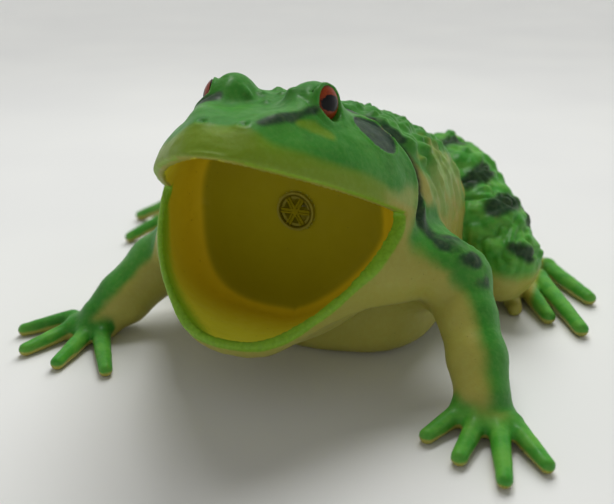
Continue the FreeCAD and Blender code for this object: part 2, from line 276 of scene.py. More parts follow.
SHANK = [(50.5, 15.5, 13.4, 8.4), (47.5, 30, 9.6, 8.2), (49, 46, 7.2, 6.4)]
HEELS = {"left": (50.5, 46, 4.6), "right": (54, 47, 4.8)}
TOES = {
    "left": [(62, 51, 76.6, 32.6), (60.5, 40, 75.8, 9.4), (58, 30, 66.2, 14.4), (53.5, 25, 56.4, 16.4)],
    "right": [(78, 53, 92, 55.5, 102.8, 53), (72, 44, 83, 38.5, 90.8, 28.5),
              (66, 38, 72.7, 21.4), (59, 31, 59.5, 19)],
}
FINGER_RADII = (2.5, 1.8)              # at the root and at the tip
TOE_RADII = (3, 2.15)
TOE_ARCH = 4.0                         # height of the arch at a digit's knuckle
ROOT_LIFT, TIP_LIFT = 0.3, -0.1        # how far the skin under a digit clears the floor
HEEL_RADIUS = 4.0

# fillets between the parts of the body
FILLET = {"chest": 6, "brow": 3.5, "crown": 4, "shelf": 2, "belly": 1.5, "ridge": 4,
          "front_leg": 4, "hind_leg": 2.6, "eye": 0.6, "nostril": 0.6, "nose": 5,
          "digit": 1.6, "hand": 2.2, "paw": 2.5, "knee": 1.6}


def digits(p, paths, radii, hub=None):
    """Fingers or toes, each a path on the floor plan from its root to its tip, arched at its knuckle."""
    root_radius, tip_radius = radii
    d = None
    for path in paths:
        plan = np.reshape(path, (-1, 2))
        steps = np.linspace(0, 1, len(plan))
        radius = root_radius + (tip_radius - root_radius) * steps
        lift = ROOT_LIFT + (TIP_LIFT - ROOT_LIFT) * steps
        height = radius + lift + TOE_ARCH * np.sin(math.pi * steps)
        chain = [(x, y, z, r) for (x, y), z, r in zip(plan, height, radius)]
        if hub:
            chain.insert(0, (*hub, HEEL_RADIUS))
        one = limb(p, chain, 1)
        d = one if d is None else smooth_union(d, one, FILLET["digit"])
    return d


def front_leg_shape(p, side):
    """An arm with its hand."""
    fingers = digits(p, FINGERS[side], FINGER_RADII)
    hand = smooth_union(ellipsoid(p, *PALMS[side]), fingers, FILLET["hand"])
    return smooth_union(limb(p, ARMS[side], 2), hand, FILLET["paw"])


def hind_leg_shape(p, side):
    """A folded hind leg with its foot."""
    leg = smooth_union(limb(p, THIGH, 3), limb(p, SHANK, 2), FILLET["knee"])
    return smooth_union(leg, digits(p, TOES[side], TOE_RADII, HEELS[side]), FILLET["paw"])


EYE_LOW, EYE_HIGH = box_mm("eye_left")
EYE_CENTRE = (EYE_LOW + EYE_HIGH) / 2
EYE_LOOK = np.array([0.92, -0.36, 0.12]) / np.linalg.norm([0.92, -0.36, 0.12])
EYE_FORWARD = np.cross(EYE_LOOK, (0, 0, 1))    # the side of the eye nearest the snout
EYE_UP = np.array([0, 0.25, 1])        # the pupil's short way
PUPIL_STRETCH = 0.42                   # the pupil's long way counts this much
EYE_SOCKET = 4.15
SOCKET_DEPTH = 1.4
LID_RING, LID_THICK = 4.35, 0.55
LID_SUNK_LEFT, LID_SUNK_RIGHT = 0.45, 1.0
SQUEAKER_LOW, SQUEAKER_HIGH = box_mm("squeaker_case")
SQUEAKER_HEIGHT = float(SQUEAKER_LOW[2] + SQUEAKER_HIGH[2]) / 2
SQUEAKER_HOLE = 5.0
BACK_WALL = box_mm("mouth_pocket")[1][1] - POCKET_WALL


def eye_frame(m):
    """Distance along the eye's look and away from its axis, for points on the left half."""
    q = m - EYE_CENTRE
    along = q @ EYE_LOOK
    return along, np.linalg.norm(q - along[:, None] * EYE_LOOK, axis=1)


def lid_ring(m, left):
    """The eyelid: on the left one it is thicker on the side nearest the snout."""
    along, away = eye_frame(m)
    front = np.clip((m - EYE_CENTRE) @ EYE_FORWARD / np.maximum(away, 0.1), 0, 1) * left
    sunk = np.where(left, LID_SUNK_LEFT, LID_SUNK_RIGHT)
    return np.hypot(away - LID_RING + 0.3 * front, along + sunk - 0.75 * front) - LID_THICK - 0.4 * front


def mouth_pocket(p):
    """Negative inside the pocket of the mouth."""
    deep = ramp(p[:, 1], *POCKET_SQUARES)
    lower = UPPER_ROUNDNESS + deep * np.where(p[:, 0] > 0, -1, 0.8)
    shifted = p + np.outer(POCKET_SHIFT * ramp(p[:, 1], *POCKET_SHIFT_FROM), (1, 0, 0))
    pocket = sectioned(shifted, POCKET_TABLE, lower)
    return -smooth_union(-pocket, BACK_WALL - p[:, 1], POCKET_BACK_FILLET)


def lip_planes(p):
    """Distances above the upper lip's plane and below the lower lip's, both negative in the gape."""
    up_dir, low_dir = UPPER_LIP - CORNER, LOWER_LIP - CORNER
    up_normal = np.array([0, up_dir[2], -up_dir[1]]) / np.linalg.norm(up_dir)
    low_normal = np.array([0, -low_dir[2], low_dir[1]]) / np.linalg.norm(low_dir)
    return (p - CORNER) @ up_normal, (p - CORNER) @ low_normal


def folded(p):
    """The points with the right half laid over the left."""
    m = p.copy()
    m[:, 0] = np.abs(m[:, 0])
    return m


def squeaker_hole(p):
    """Negative in the round hole through the back of the mouth."""
    hole = np.hypot(p[:, 0], p[:, 2] - SQUEAKER_HEIGHT) - SQUEAKER_HOLE
    behind = p[:, 1] - SQUEAKER_HIGH[1] - 1
    before = SQUEAKER_LOW[1] - 3 - p[:, 1]
    return np.maximum(np.maximum(hole, behind), before)


def skin_distance(p):
    """Signed distance to the whole skin in millimetres, negative inside."""
    m = folded(p)
    left = p[:, 0] > 0
    sides = [(side, chosen) for side, chosen in (("left", left), ("right", ~left)) if chosen.any()]
    pocket = mouth_pocket(p)
    d = sectioned(p, HULL_TABLE)
    for side, chosen in sides:
        chest = smooth_union(d[chosen], limb(m[chosen], CHEST[side], 4), FILLET["chest"])
        d[chosen] = smooth_union(chest, ellipsoid(m[chosen], *BROWS[side]), FILLET["brow"])
    d = smooth_union(d, ellipsoid(p, *CROWN), FILLET["crown"])
    under = np.maximum(m[:, 2] - np.interp(m[:, 0], *SHELF.T), m[:, 1] - SHELF_BACK)
    d = smooth_cut(d, np.maximum(under, LEAST_WALL - pocket), FILLET["shelf"])
    d = smooth_union(d, super_ball(m, *BELLY), FILLET["belly"])
    d = smooth_union(d, limb(m, SNOUT_RIDGE, 2), FILLET["ridge"])
    for side, chosen in sides:
        legs = smooth_union(d[chosen], front_leg_shape(m[chosen], side), FILLET["front_leg"])
        d[chosen] = smooth_union(legs, hind_leg_shape(m[chosen], side), FILLET["hind_leg"])
    along, away = eye_frame(m)
    d = smooth_cut(d, np.maximum(away - EYE_SOCKET, -along - SOCKET_DEPTH), FILLET["eye"])
    d = smooth_union(d, lid_ring(m, left), FILLET["eye"])
    d = smooth_cut(d, np.linalg.norm(m - NOSTRIL_AT, axis=1) - NOSTRIL_RADIUS, FILLET["nostril"])
    d = smooth_cut(d, -((p - NOSE_BEVEL[0]) @ NOSE_BEVEL[1]), FILLET["nose"])
    gape = np.maximum(*lip_planes(p))
    d = smooth_cut(d, np.minimum(pocket, gape), LIP_ROUND)
    d = np.maximum(d, -squeaker_hole(p))
    return np.maximum(d, -p[:, 2])


# ---- sculpt: mesh of the zero surface ----------------------------
def sample_grid(low, high):
    """Distances on a grid, evaluated only in blocks near the surface."""
    span = BLOCK * CELL
    blocks = np.ceil((high - low) / span).astype(int)
    grid = np.full(blocks * BLOCK + 1, 1, np.float32)
    index = np.stack(np.meshgrid(*[np.arange(n) for n in blocks], indexing="ij"), -1).reshape(-1, 3)
    centres = low + (index + 0.5) * span
    middle = skin_distance(centres)
    reach = span * NEAR_SPANS + NEAR_MARGIN
    for first in index[middle < -reach] * BLOCK:
        grid[tuple(slice(n, n + BLOCK + 1) for n in first)] = -1.0
    near = index[np.abs(middle) <= reach]
    local = np.arange(BLOCK + 1)
    offsets = np.stack(np.meshgrid(local, local, local, indexing="ij"), -1).reshape(-1, 3)
    for start in range(0, len(near), BLOCKS_AT_ONCE):
        part = near[start:start + BLOCKS_AT_ONCE]
        cells = part[:, None, :] * BLOCK + offsets[None]
        flat = cells.reshape(-1, 3)
        grid[tuple(flat.T)] = skin_distance(low + flat * CELL)
    return grid


def surface_nets(grid, low):
    """Vertices and quads of the zero surface, one vertex per cell the surface crosses."""
    inside = grid < 0
    shape = np.array(grid.shape) - 1
    views = [inside[tuple(slice(a, a + n) for a, n in zip(corner, shape))] for corner in CORNERS]
    count = sum(view.astype(np.int8) for view in views)
    cells = np.argwhere((count > 0) & (count < 8))
    number = np.full(shape, -1, np.int64)
    number[tuple(cells.T)] = np.arange(len(cells))
    total, hits = np.zeros((len(cells), 3)), np.zeros(len(cells))
    for a, b in combinations(CORNERS, 2):
        if np.abs(a - b).sum() != 1:
            continue
        at_a = grid[tuple((cells + a).T)]
        at_b = grid[tuple((cells + b).T)]
        cross = (at_a < 0) != (at_b < 0)
        t = np.where(cross, at_a / np.where(cross, at_a - at_b, 1), 0)[:, None]
        total += np.where(cross[:, None], a + (b - a) * t, 0)
        hits += cross
    vertices = low + (cells + total / hits[:, None]) * CELL
    return vertices, np.concatenate([quads_across(axis, inside, number) for axis in range(3)])


def quads_across(axis, inside, number):
    """A quad for each grid edge along one axis that passes through the surface."""
    take = [slice(1, n) for n in number.shape]
    take[axis] = slice(0, number.shape[axis])
    first = inside[tuple(take)]
    take[axis] = slice(1, number.shape[axis] + 1)
    edges = np.argwhere(first != inside[tuple(take)]) + (np.arange(3) != axis)
    du, dv = np.eye(3, dtype=int)[[(axis + 1) % 3, (axis + 2) % 3]]
    quad = np.stack([number[tuple((edges - step).T)] for step in (du + dv, dv, 0 * du, du)], 1)
    return np.where(inside[tuple(edges.T)][:, None], quad, quad[:, ::-1])


def gradient(p, step=0.15):
    """Unit direction in which the distance grows."""
    g = np.zeros_like(p)
    for i in range(3):
        move = np.zeros(3)
        move[i] = step
        g[:, i] = skin_distance(p + move) - skin_distance(p - move)
    return g / (np.linalg.norm(g, axis=1, keepdims=True) + 1e-9)


# ---- sculpt: relief on the smooth surface ------------------------
HASH_AXES = np.array([374761393, 668265263, 2147483647])
HASH_SEED, HASH_MIX = 974711, 1274126177


def value_noise(p, seed):
    """Smooth noise between -1 and 1 with one feature per unit."""
    cell = np.floor(p).astype(np.int64)
    f = p - cell
    f = f * f * (3 - 2 * f)
    total = np.zeros(len(p))
    for corner in CORNERS:
        h = ((cell + corner) @ HASH_AXES + seed * HASH_SEED) & 0xFFFFFFFF
        h = ((h ^ (h >> 13)) * HASH_MIX) & 0xFFFFFFFF
        value = ((h ^ (h >> 16)) & 0xFFFF) / 32767.5 - 1
        total += value * np.abs(1 - corner - f).prod(1)
    return total


def rough(p, size, octaves, seed):
    """Noise in octaves; size is the largest feature in millimetres, or one size for each axis."""
    total, gain = 0, 1.0
    for octave in range(octaves):
        total = total + gain * value_noise(p * 2 ** octave / np.array(size), seed + octave)
        gain *= 0.5
    return total


NECK_FOLD = [
    (9, -15, 66.6), (14, -16.5, 66), (17.9, -17.6, 64.7), (21.8, -18.5, 63.2), (25.2, -19.4, 61.3),
    (27.8, -19.6, 59.2), (30.3, -19.2, 56.6), (32.2, -19.2, 54.1), (33.7, -19.7, 51.3), (34.9, -20.7, 48.4),
    (35.5, -22.6, 45.1), (35.9, -24.4, 42.4), (37, -27.4, 39.6), (37, -31, 37.7),
]
NECK_FOLD_Y = -20.5                    # the cheek stands proud ahead of this, the shoulder sinks behind it
EAR = np.array([24.7, -26.4, 61.8])
EAR_RADIUS = 6.9
EAR_SQUEEZE = np.array([1, 1.2, 1])
EYE_GROOVE = 6.1
SIDE_FOLD = [(24, 6, 56, 0), (28.7, 9, 54, 0), (32.5, 10, 50, 0), (36, 11, 43, 0), (39, 12.3, 35.9, 0)]
CROWN_WARTS = [(2, -30), (5.5, -27), (-3, -31), (-1, -26), (7, -36.5), (0.5, -36), (-5, -35)]
CROWN_LOWEST = 55.0
BUMP_FOOT, BUMP_SEARCH = 1.7, 2.2      # a bump's foot and the search for its points, in radii


def chain_gap(m, chain):
    """Distance from a chain of points, and how far along it (0 to 1)."""
    best, place = None, None
    for i, (a, b) in enumerate(zip(chain, chain[1:])):
        t, gap = along_segment(m, a[:3], b[:3])
        where = (i + t) / (len(chain) - 1)
        if best is None:
            best, place = gap, where
        else:
            place = np.where(gap < best, where, place)
            best = np.minimum(best, gap)
    return best, place


def most(*masks):
    """The strongest of some masks at each point."""
    return np.maximum.reduce(masks)


def bell(gap, width):
    """1 on a line, fading to 0 over about twice the width on either side of it."""
    return np.exp(-(gap / width) ** 2)


def regions(p, n):
    """Soft masks of the skin's areas, shared by the relief and the paint."""
    m = folded(p)
    y, z = m[:, 1], m[:, 2]
    thigh = fade(limb(m, THIGH, 3), 0.4, 2.2)
    leg = most(thigh, fade(limb(m, SHANK, 2), 0.2, 1.6))
    front = fade(limb(m, ARMS["left"], 2), 0.5, 4)
    behind_neck = ramp(y, -17.5, -14.5)
    back = behind_neck * ramp(z, 44, 54) * (1 - leg)
    flank = behind_neck * ramp(z, 14, 20) * fade(z, 50, 58) * ramp(np.abs(n[:, 0]), 0.35, 0.7)
    flank = flank * (1 - leg) * (1 - front)
    pocket = mouth_pocket(p)
    skin = ramp(pocket, 0.2, 0.6)
    return dict(m=m, thigh=thigh, leg=leg, front=front, back=back, flank=flank, skin=skin, pocket=pocket)


def scatter_bumps(p, weight, count, radius, height, spacing, rng):
    """Random round bumps on the points, more where weight is higher; radius and height are ranges."""
    out = np.zeros(len(p))
    allowed = np.flatnonzero(weight > 0.25)
    if not len(allowed):
        return out
    tree = KDTree(len(allowed))
    for i, v in enumerate(allowed):
        tree.insert(p[v], i)
    tree.balance()
    picks = rng.choice(allowed, size=count * 4, p=weight[allowed] / weight[allowed].sum())
    chosen = []
    for pick in picks:
        c = p[pick]
        r = rng.uniform(*radius)
        h = rng.uniform(*height)
        if chosen and np.min(np.linalg.norm(np.array(chosen) - c, axis=1)) < spacing:
            continue
        chosen.append(c)
        found = tree.find_range(Vector(c), r * BUMP_SEARCH)
        ids = allowed[[f[1] for f in found]]
        gap = np.array([f[2] for f in found])
        dome = np.clip(1 - (gap / (r * BUMP_FOOT)) ** 2, 0, 1) ** 2
        out[ids] = np.maximum(out[ids], h * dome * weight[ids])
        if len(chosen) >= count:
            break
    return out


def neck_relief(m):
    """The fold behind the head, with the cheek rolled up to it."""
    gap, place = chain_gap(m, NECK_FOLD)
    depth = ramp(place, 0, 0.12) * fade(place, 0.78, 1)
    cheek = np.where(m[:, 1] < NECK_FOLD_Y, 0.35 * bell(gap - 2, 1.1), -0.7 * bell(gap - 1.8, 2))
    return depth * (cheek - 1.9 * bell(gap, 1.15))


def ear_relief(m):
    """A flat eardrum inside a thin ring."""
    gap = np.linalg.norm((m - EAR) * EAR_SQUEEZE, axis=1)
    return 0.28 * bell(gap - EAR_RADIUS, 0.45) - 0.35 * fade(gap, EAR_RADIUS - 0.9, EAR_RADIUS - 0.1)


def eye_relief(m):
    """The groove round the eyelid, on the side nearest the snout."""
    along, away = eye_frame(m)
    groove = bell(away - EYE_GROOVE, 0.55) * fade(np.abs(along), 2.5, 5)
    return -0.45 * groove * (m[:, 1] < EYE_CENTRE[1])


def flank_relief(m):
    """Upright creases in the loose skin of the side."""
    folds = rough(m, (6, 2.6, 15), 3, 21)
    creases = 1 - np.abs(rough(m, (7, 3.4, 13), 2, 31))
    return 0.45 * folds + 0.95 * (creases - 0.6) + 0.25 * rough(m, (1.6, 1.6, 4), 2, 35)


def side_fold_relief(m):
    """The long fold from the back down to the shoulder."""
    gap, place = chain_gap(m, SIDE_FOLD)
    return 0.8 * bell(gap, 1.5) * (0.7 + 0.5 * rough(m, 3, 2, 41)) * ramp(place, 0, 0.1)


def wart_relief(p, n, area):
    """Warts of the back, thighs, shoulders and crown."""
    rng = np.random.default_rng(SEED)
    m = area["m"]
    h = scatter_bumps(p, area["back"], 240, (1.3, 2.6), (0.6, 1.5), 3, rng)
    h += scatter_bumps(p, area["back"], 300, (0.5, 0.9), (0.15, 0.4), 1.2, rng)
    h += 0.35 * area["back"] * rough(m, 6, 3, 61)
    thigh = area["thigh"] * ramp(m[:, 2], 12, 20) * ramp(n[:, 2] + 0.6 * np.abs(n[:, 0]), 0.1, 0.5)
    h += scatter_bumps(p, thigh, 170, (1.6, 3.2), (0.5, 1.2), 3, rng)
    h -= 0.9 * thigh * fade(np.abs(rough(m, 6, 2, 51)), 0, 0.3)
    h += 0.3 * thigh * rough(m, 2.5, 2, 55)
    shoulder = area["front"] * ramp(m[:, 2], 26, 36)
    h += scatter_bumps(p, shoulder, 60, (0.8, 1.5), (0.15, 0.45), 2, rng)
    on_crown = p[:, 2] >= CROWN_LOWEST
    for x, y in CROWN_WARTS:
        h += 0.95 * bell(np.hypot(p[:, 0] - x, p[:, 1] - y), 1.25) * on_crown
    return h


def relief(p, n, area):
    """Height in millimetres that the surface stands proud of the smooth shape."""
    m = area["m"]
    h = (0.12 * rough(p, 9, 2, 3) + 0.07 * rough(p, 2.2, 2, 9)) * area["skin"]
    h += neck_relief(m) + ear_relief(m) + eye_relief(m)
    h += area["flank"] * flank_relief(m) + side_fold_relief(m)
    h += wart_relief(p, n, area)
    nostril_gap = np.linalg.norm(m - NOSTRIL_AT, axis=1)
    h += np.where(p[:, 0] > 0, 0.2, 0.08) * bell(nostril_gap - 2 * NOSTRIL_RADIUS, 0.7)
    return h * (p[:, 2] > 0.05)


# ---- paint: masks stored on the vertices -------------------------
# chains of balls: x, y, z, radius
STREAK = [(8.4, -54.7, 68.7, 0.9), (11.9, -48.4, 69, 1.1), (15, -42, 69.6, 0.7), (15.8, -40, 69.8, 0.2)]
RIGHT_BROW_PATCH = [(10.4, -41, 71.6, 1.5), (13, -41.5, 69.2, 1.8), (15.2, -42, 66.4, 1.3)]
EYE_YELLOW = [(13.6, -47, 67.2, 0.8), (16, -44.6, 65.8, 1.3), (19, -42.6, 63.6, 1.2)]
EAR_PATCH = [(15.5, -21, 66.4, 2.6), (19, -17.8, 65, 2.6), (24, -17.5, 62.6, 2), (28.5, -16.5, 59, 1.2)]
SHOULDER_SPOTS = [
    [(43, -26.4, 37.2, 3), (45.2, -24.6, 36.4, 3)],
    [(49, -27.6, 33.4, 2.1), (50.4, -25.4, 32.8, 2.2)],
    [(53.4, -28.4, 28.6, 1.3), (54.4, -26.4, 28, 1.4)],
    [(36.4, -23.5, 41.5, 2.2), (39.3, -26, 38.2, 1.8)],
]
THIGH_BARS = [
    [(27, 36, 47.5, 2.6), (31.6, 42, 48.5, 3.2)],
    [(38, 23, 38.1, 2), (44, 32, 42, 3.4)],
    [(48, 17, 33.4, 3), (52.5, 25, 34.5, 3.6)],
    [(54.6, 10.5, 23.6, 1.2), (58.5, 12.5, 21.4, 1.9)],
    [(58, 28, 27, 2.2), (52, 38, 34, 2.8)],
]
ARM_SPOTS = [(58.5, -34.8, 17, 0.45), (59, -33, 9, 0.35), (55, -46, 7.5, 0.35)]


def brushed(gap, soft):
    """1 inside a shape, fading over soft millimetres around its edge."""
    return fade(gap, -soft * 0.5, soft)


def painted(m, chains, soft):
    """1 inside any of the chains of balls, fading over soft millimetres."""
    return most(*[brushed(limb(m, chain, 1), soft) for chain in chains])


def spotted(m, balls, soft):
    """1 inside any of the balls, fading over soft millimetres."""
    gaps = [np.linalg.norm(m - np.array(centre), axis=1) - radius for *centre, radius in balls]
    return most(*[brushed(gap, soft) for gap in gaps])


def paint_guide(p, n, area):
    """What the paint masks share: places, slopes, heights from the lips and the wander of spray."""
    m = area["m"]
    above_lip, below_lip = lip_planes(p)
    snout = fade(m[:, 0], 5, 13) * ramp(-m[:, 1], 50, 60)
    return SimpleNamespace(
        **area, x=m[:, 0], y=m[:, 1], z=m[:, 2], sideways=p[:, 0], right=p[:, 0] < 0,
        out=n[:, 0] * np.sign(p[:, 0] + 1e-9), rear=n[:, 1], up=n[:, 2],
        wander=rough(m, 11, 3, 71), fine=rough(m, 3.2, 2, 81),
        above_lip=above_lip, below_lip=below_lip,
        head=fade(m[:, 1], -21.5, -19), green_line=3.4 + 3.8 * snout,
    )


# the ramps below run between two places in millimetres, or for up, out and rear between two slopes
def head_green(g):
    """The head, down to a line above the upper lip and on the cheeks."""
    cheek = 3 * ramp(g.y, -40, -30)
    green = g.head * ramp(g.above_lip + 0.9 * g.wander, g.green_line - 2.4, g.green_line + 3.2)
    return green * ramp(g.z + 1.5 * g.wander, 38.5 + cheek, 50 + cheek)


def back_green(g):
    """The back, lower towards the rear."""
    drop = 22 * ramp(g.y, 4, 34)
    height = ramp(g.z + drop + 3 * g.wander + 2 * g.fine, 44, 58)
    top = (1 - g.head) * height * ramp(g.up + 0.2 * g.fine, 0, 0.8)
    rump = ramp(g.y, 30, 44) * ramp(g.z, 18, 30) * (1 - g.leg)
    return most(top, rump)


def shoulder_green(g):
    """The top of the shoulder, along a line that falls towards the elbow."""
    away_from_arm = ramp(limb(g.m, ARMS["left"], 2), 2, 8)
    green = ramp(g.x, 33.5, 37) * fade(g.y, -17, -9)
    green = green * (1 - away_from_arm * ramp(g.y, -21, -18)) * fade(g.z, 44, 50)
    line = 35.5 - 0.5 * (g.x - 36)
    return green * ramp(g.z + g.wander, line - 3, line + 4)


def arm_green(g):
    """The outer side of the left arm and the top of the right one."""
    left_side = 0.25 + 0.8 * g.out + 0.34 * g.rear + 0.1 * g.up
    side = np.where(g.right, 0.55 * g.out + 0.95 * g.up, left_side)
    start = np.where(g.right, 36, 42)
    return g.front * ramp(g.x, start, start + 4) * ramp(side + 0.12 * g.wander, -0.25, 0.8)


def paw_green(g):
    """The hand and the upper side of its fingers."""
    hand = most(ramp(g.x, 40, 44), ramp(-g.y, 46, 50)) * fade(g.y, -36, -31)
    hand = hand * fade(g.z + 1.2 * g.wander, 3, 11) * (g.x > 30)
    return hand * ramp(g.up + 0.15 * g.fine, -0.35, 0.25)


def leg_green(g):
    """The thigh and the outer side of the folded leg."""
    outer = ramp(g.up + 0.9 * g.out + 0.3 + 0.2 * g.fine, -0.2, 0.7)
    return g.leg * ramp(g.z + 2 * g.wander, 8, 21.5) * outer


def foot_green(g):
    """The upper side of the hind toes."""
    foot = ramp(g.x, 58, 63) * ramp(g.y, 4, 7) * fade(g.z, 7.5, 11)
    return foot * ramp(g.up + 0.15 * g.fine, -0.35, 0.25)


def lip_yellow(g):
    """Yellow-green between the upper lip and the green, and under the eye."""
    band = g.head * ramp(g.above_lip, -0.3, 0.5) * fade(g.above_lip, g.green_line, g.green_line + 4.5)
    band = band * fade(g.y, -42, -30)
    return most(0.9 * band, 0.8 * painted(g.m, [EYE_YELLOW], 1.8))


def fresh_green(g):
    """Brighter green of the hind legs and of the finger tips."""
    fingers = ramp(-g.y, 46, 52) * fade(g.z, 6, 9) * ramp(g.x, 30, 34)
    return most(g.leg, foot_green(g), fingers)


def thin_mint(g):
    """Thin green over cream on the flank, the side fold and the cheek."""
    flank = 0.75 * g.flank * ramp(g.z + 5 * g.fine, 24, 50)
    fold = bell(chain_gap(g.m, SIDE_FOLD)[0], 2.6) * (1 - g.leg)
    cheek = 0.55 * g.head * ramp(g.above_lip, 0.5, 3) * ramp(g.y, -46, -32)
    return most(flank, fold, cheek)


def dark_marks(g):
    """Dark spots, bars and streaks, and darkening in the neck fold with a softer fade behind it."""
    gap, place = chain_gap(g.m, NECK_FOLD)
    fold = fade(gap, 1, 2.4) * ramp(place, 0.02, 0.14) * fade(place, 0.75, 1)
    halo = 0.65 * fade(gap, 1, 4.5) * ramp(place, 0.05, 0.2) * fade(place, 0.8, 1)
    shoulder = painted(g.m, SHOULDER_SPOTS, 2.2) * np.clip(0.85 + 0.4 * g.fine, 0, 1)
    behind_ear = painted(g.m, [EAR_PATCH], 2) * np.clip(0.75 + 0.6 * g.fine, 0, 1)
    brow = np.where(g.right, painted(g.m, [RIGHT_BROW_PATCH], 1.6), painted(g.m, [STREAK], 1.8))
    thigh = painted(g.m, THIGH_BARS, 2.6) * g.leg
    return most(shoulder, 0.95 * thigh, behind_ear, 0.85 * spotted(g.m, ARM_SPOTS, 0.4),
                fold, halo * (g.y > NECK_FOLD_Y), 0.95 * brow)


def lip_rim(g):
    """Bright green on the lips' edges, and the overspray inside the lower one."""
    edge = ramp(-g.y, 29.4, 31) * fade(np.abs(g.below_lip), 0.7, 1.7)
    edge = edge * fade(g.pocket, 2.6, 3.6) * ramp(g.pocket, -1.6, -0.4)
    upper_edge = fade(np.abs(g.above_lip), 0.2, 0.8) * fade(np.abs(g.pocket - 2.2), 0.5, 1.2)
    reach = 7 + 12 * ramp(-g.sideways, 4, 24) + 2 * g.wander
    spray = ramp(-g.y, 29, 35) * fade(g.below_lip, 0, reach) * fade(g.pocket, 0.3, 1.2)
    spray = spray * (0.65 - 0.2 * np.sign(g.sideways)) * (g.below_lip > -0.5) * (g.above_lip < -1.5)
    return g.head * most(edge, 0.6 * upper_edge, spray)


GREENS = (head_green, back_green, shoulder_green, arm_green, paw_green, leg_green, foot_green)


def paint(p, n, area):
    """Paint amounts by name, one value from 0 to 1 on each vertex."""
    g = paint_guide(p, n, area)
    ear = fade(np.linalg.norm((g.m - EAR) * EAR_SQUEEZE, axis=1), EAR_RADIUS - 0.7, EAR_RADIUS - 0.1)
    return dict(
        green=most(*[green(g) for green in GREENS]), yellow=lip_yellow(g), fresh=fresh_green(g),
        mint=thin_mint(g), dark=np.clip(dark_marks(g) * (1 - ear), 0, 1), ear=ear, rim=lip_rim(g),
    )


# ---- sculpt: pieces ----------------------------------------------
# each pair of legs: direction out of the body, how far out its piece starts, and its length
FRONT_ROOT = (np.array([0.978, -0.208, 0]), 42, 9)
HIND_ROOT = (np.array([0.876, 0.482, 0]), 48, 8)
WAIST = -3.0                           # front legs lie ahead of this, hind legs behind it
LINING_EDGE = 0.3                      # the mouth lining reaches this far past the pocket
SETTLE_STEPS, SETTLE_SHARE = 2, 0.8    # pulls of the raw mesh onto the true surface


def sculpt():
    """Vertices, faces, masks, rest positions and area masks of the whole skin, in millimetres."""
    vertices, faces = surface_nets(sample_grid(GRID_LOW, GRID_HIGH), GRID_LOW)
    for _ in range(SETTLE_STEPS):
        n = gradient(vertices)
        off = np.clip(skin_distance(vertices), -CELL, CELL)[:, None]
        vertices = vertices - off * n * SETTLE_SHARE
    n = gradient(vertices)
    area = regions(vertices, n)
    masks = paint(vertices, n, area)
    shaped = vertices + relief(vertices, n, area)[:, None] * n
    shaped[:, 2] = np.maximum(shaped[:, 2], 0)
    return shaped, faces, masks, vertices, area


def vertex_normals(vertices, faces):
    """Normals weighted by the area of the quads around each vertex."""
    a, b, c, d = (vertices[faces[:, i]] for i in range(4))
    across = np.cross(c - a, d - b)
    normals = np.zeros_like(vertices)
    for i in range(4):
        np.add.at(normals, faces[:, i], across)
    return normals / (np.linalg.norm(normals, axis=1, keepdims=True) + 1e-12)


def add_object(name, data):
    """A new object in the scene."""
    obj = bpy.data.objects.new(name, data)
    bpy.context.scene.collection.objects.link(obj)
    return obj


def skin_piece(name, data, chosen, material):
    """One piece made of the chosen faces, in metres, with its masks as vertex attributes."""
    vertices, faces, normals, masks, rest = data
    part = faces[chosen]
    used, index = np.unique(part, return_inverse=True)
    part = index.reshape(part.shape)
    mesh = bpy.data.meshes.new(name)
    mesh.from_pydata((vertices[used] * MM).tolist(), [], part.tolist())
    mesh.validate()
    mesh.polygons.foreach_set("use_smooth", np.ones(len(mesh.polygons), bool))
    mesh.normals_split_custom_set_from_vertices(normals[used].tolist())
    for key, values in masks.items():
        attribute = mesh.attributes.new(key, "FLOAT", "POINT")
        attribute.data.foreach_set("value", values[used].astype(np.float32))
    attribute = mesh.attributes.new("rest", "FLOAT_VECTOR", "POINT")
    attribute.data.foreach_set("vector", rest[used].astype(np.float32).ravel())
    mesh.materials.append(material)
    return add_object(name, mesh)


def build_skin(materials):
    """Split the skin into torso, mouth lining and four legs, each standing for its CAD node."""
    vertices, faces, masks, rest, area = sculpt()
    data = (vertices, faces, vertex_normals(vertices, faces), masks, rest)
    m = area["m"]
    on_right = (rest[:, 0] < 0)[faces[:, 0]]
    ahead = m[:, 1] < WAIST
    legs = {}
    for name, root, near in (("front_leg", FRONT_ROOT, ahead), ("hind_leg", HIND_ROOT, ~ahead)):
        out, start, _ = root
        chosen = ((m @ out > start) & near)[faces].any(1)
        legs[name + "_left"] = (root, 1, chosen & ~on_right)
        legs[name + "_right"] = (root, -1, chosen & on_right)
    trunk = ~np.logical_or.reduce([chosen for _, _, chosen in legs.values()])
    in_mouth = trunk & (area["pocket"] < LINING_EDGE)[faces].all(1)
    torso = skin_piece("skin_torso", data, trunk & ~in_mouth, materials["skin"])
    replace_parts(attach(torso, "body"), "body_skin")
    lining = skin_piece("mouth_lining", data, in_mouth, materials["mouth"])
    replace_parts(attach(lining, "body"), "mouth_pocket")
    for body, (root, side, chosen) in legs.items():
        piece = skin_piece("skin_" + body, data, chosen, materials["skin"])
        out, start, reach = root
        out = out * (side, 1, 1)
        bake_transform(piece)
        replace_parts(piece, body)


# ---- materials ---------------------------------------------------
def linear(red, green, blue):
    """Screen colour 0-255 to the renderer's linear colour."""
    screen = np.array([red, green, blue]) / 255
    light = np.where(screen <= 0.04045, screen / 12.92, ((screen + 0.055) / 1.055) ** 2.4)
    return (*light.tolist(), 1)


SURFACE_INPUTS = {
    "roughness": "Roughness", "specular": "Specular IOR Level",
    "coat": "Coat Weight", "coat_roughness": "Coat Roughness",
    "subsurface": "Subsurface Weight", "subsurface_scale": "Subsurface Scale",
}


